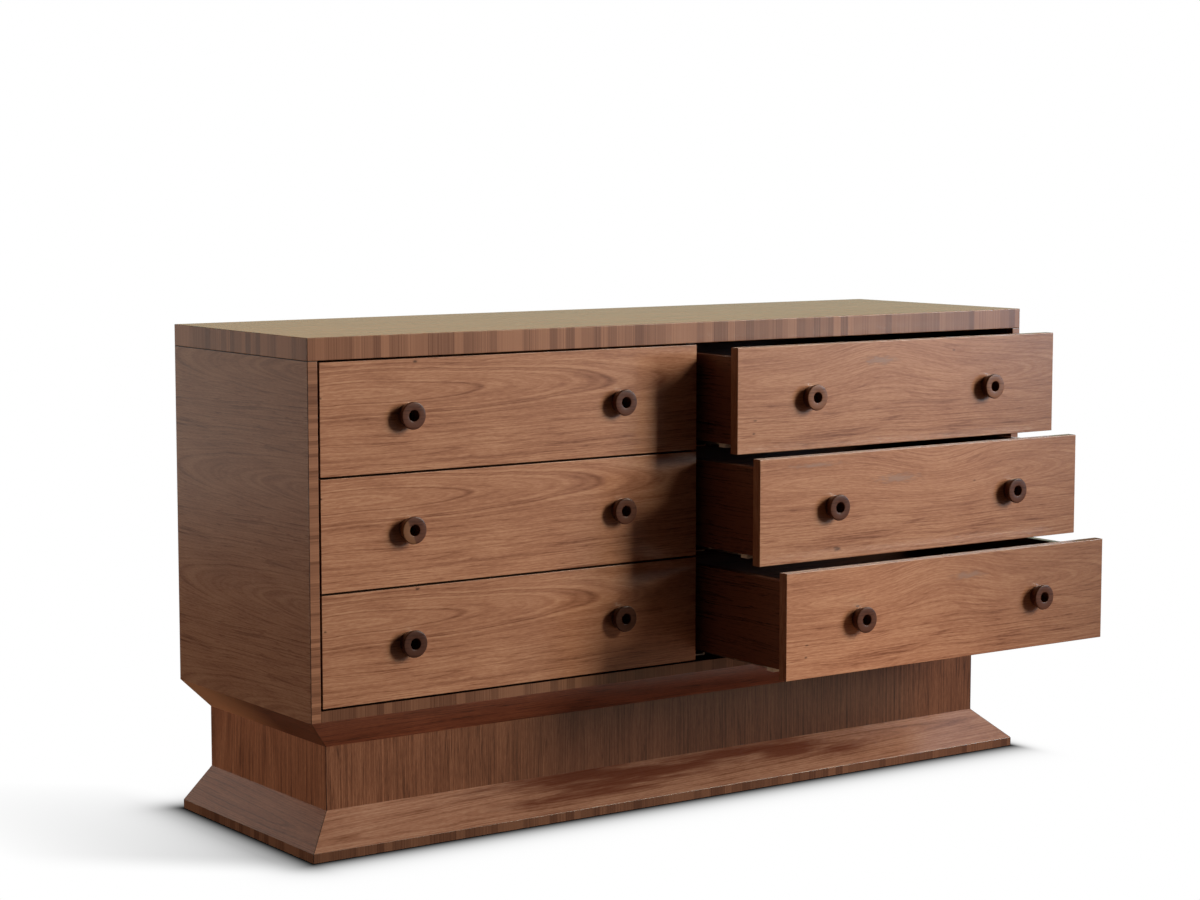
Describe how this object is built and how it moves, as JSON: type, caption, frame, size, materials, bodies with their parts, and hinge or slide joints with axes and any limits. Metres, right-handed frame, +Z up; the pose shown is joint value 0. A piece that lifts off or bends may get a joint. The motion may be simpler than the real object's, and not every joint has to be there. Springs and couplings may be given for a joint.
{
  "type": "chest of drawers",
  "caption": "Low wide chest of drawers in walnut veneer with flat inset fronts, turned ring knobs and a recessed plinth that flares out at the floor.",
  "frame": {"origin": "on the floor, at the middle of the back plane that stands against the wall", "axes": "+X to the right seen from the front, +Y to the wall behind, +Z up; the drawers open towards -Y"},
  "size_m": [1.524, 0.722, 0.835],
  "materials": {
    "walnut_veneer": "satin lacquer",
    "drawer_walnut": "satin lacquer",
    "dark_walnut": "satin lacquer",
    "back_board": "matt",
    "runner_steel": "zinc plated"
  },
  "bodies": {
    "case": {"top_panel": "walnut_veneer", "left_side_panel": "walnut_veneer", "right_side_panel": "walnut_veneer", "bottom_panel": "walnut_veneer", "back_panel": "back_board", "centre_partition": "walnut_veneer", "upper_moulding_front": "walnut_veneer", "upper_moulding_left": "walnut_veneer", "upper_moulding_right": "walnut_veneer", "skirt_front": "walnut_veneer", "skirt_left": "walnut_veneer", "skirt_right": "walnut_veneer", "plinth_front": "walnut_veneer", "plinth_left": "walnut_veneer", "plinth_right": "walnut_veneer", "plinth_back": "back_board", "plinth_corner_blocks": "back_board", "cabinet_rails": "runner_steel"},
    "left_top_drawer": {"left_top_drawer_front": "walnut_veneer", "left_top_drawer_knobs": "dark_walnut", "left_top_drawer_box_left": "drawer_walnut", "left_top_drawer_box_right": "drawer_walnut", "left_top_drawer_box_bottom": "drawer_walnut", "left_top_drawer_box_back": "drawer_walnut", "left_top_drawer_hardware": "runner_steel"},
    "left_middle_drawer": {"left_middle_drawer_front": "walnut_veneer", "left_middle_drawer_knobs": "dark_walnut", "left_middle_drawer_box_left": "drawer_walnut", "left_middle_drawer_box_right": "drawer_walnut", "left_middle_drawer_box_bottom": "drawer_walnut", "left_middle_drawer_box_back": "drawer_walnut", "left_middle_drawer_hardware": "runner_steel"},
    "left_bottom_drawer": {"left_bottom_drawer_front": "walnut_veneer", "left_bottom_drawer_knobs": "dark_walnut", "left_bottom_drawer_box_left": "drawer_walnut", "left_bottom_drawer_box_right": "drawer_walnut", "left_bottom_drawer_box_bottom": "drawer_walnut", "left_bottom_drawer_box_back": "drawer_walnut", "left_bottom_drawer_hardware": "runner_steel"},
    "right_top_drawer": {"right_top_drawer_front": "walnut_veneer", "right_top_drawer_knobs": "dark_walnut", "right_top_drawer_box_left": "drawer_walnut", "right_top_drawer_box_right": "drawer_walnut", "right_top_drawer_box_bottom": "drawer_walnut", "right_top_drawer_box_back": "drawer_walnut", "right_top_drawer_hardware": "runner_steel"},
    "right_middle_drawer": {"right_middle_drawer_front": "walnut_veneer", "right_middle_drawer_knobs": "dark_walnut", "right_middle_drawer_box_left": "drawer_walnut", "right_middle_drawer_box_right": "drawer_walnut", "right_middle_drawer_box_bottom": "drawer_walnut", "right_middle_drawer_box_back": "drawer_walnut", "right_middle_drawer_hardware": "runner_steel"},
    "right_bottom_drawer": {"right_bottom_drawer_front": "walnut_veneer", "right_bottom_drawer_knobs": "dark_walnut", "right_bottom_drawer_box_left": "drawer_walnut", "right_bottom_drawer_box_right": "drawer_walnut", "right_bottom_drawer_box_bottom": "drawer_walnut", "right_bottom_drawer_box_back": "drawer_walnut", "right_bottom_drawer_hardware": "runner_steel"}
  },
  "joints": [
    {"name": "left_top_drawer_slide", "type": "slide", "parent": "case", "child": "left_top_drawer", "axis": [0, -1, 0], "range_m": [0, 0.3]},
    {"name": "left_middle_drawer_slide", "type": "slide", "parent": "case", "child": "left_middle_drawer", "axis": [0, -1, 0], "range_m": [0, 0.3]},
    {"name": "left_bottom_drawer_slide", "type": "slide", "parent": "case", "child": "left_bottom_drawer", "axis": [0, -1, 0], "range_m": [0, 0.3]},
    {"name": "right_top_drawer_slide", "type": "slide", "parent": "case", "child": "right_top_drawer", "axis": [0, -1, 0], "range_m": [-0.11, 0.19]},
    {"name": "right_middle_drawer_slide", "type": "slide", "parent": "case", "child": "right_middle_drawer", "axis": [0, -1, 0], "range_m": [-0.172, 0.128]},
    {"name": "right_bottom_drawer_slide", "type": "slide", "parent": "case", "child": "right_bottom_drawer", "axis": [0, -1, 0], "range_m": [-0.244, 0.056]}
  ]
}
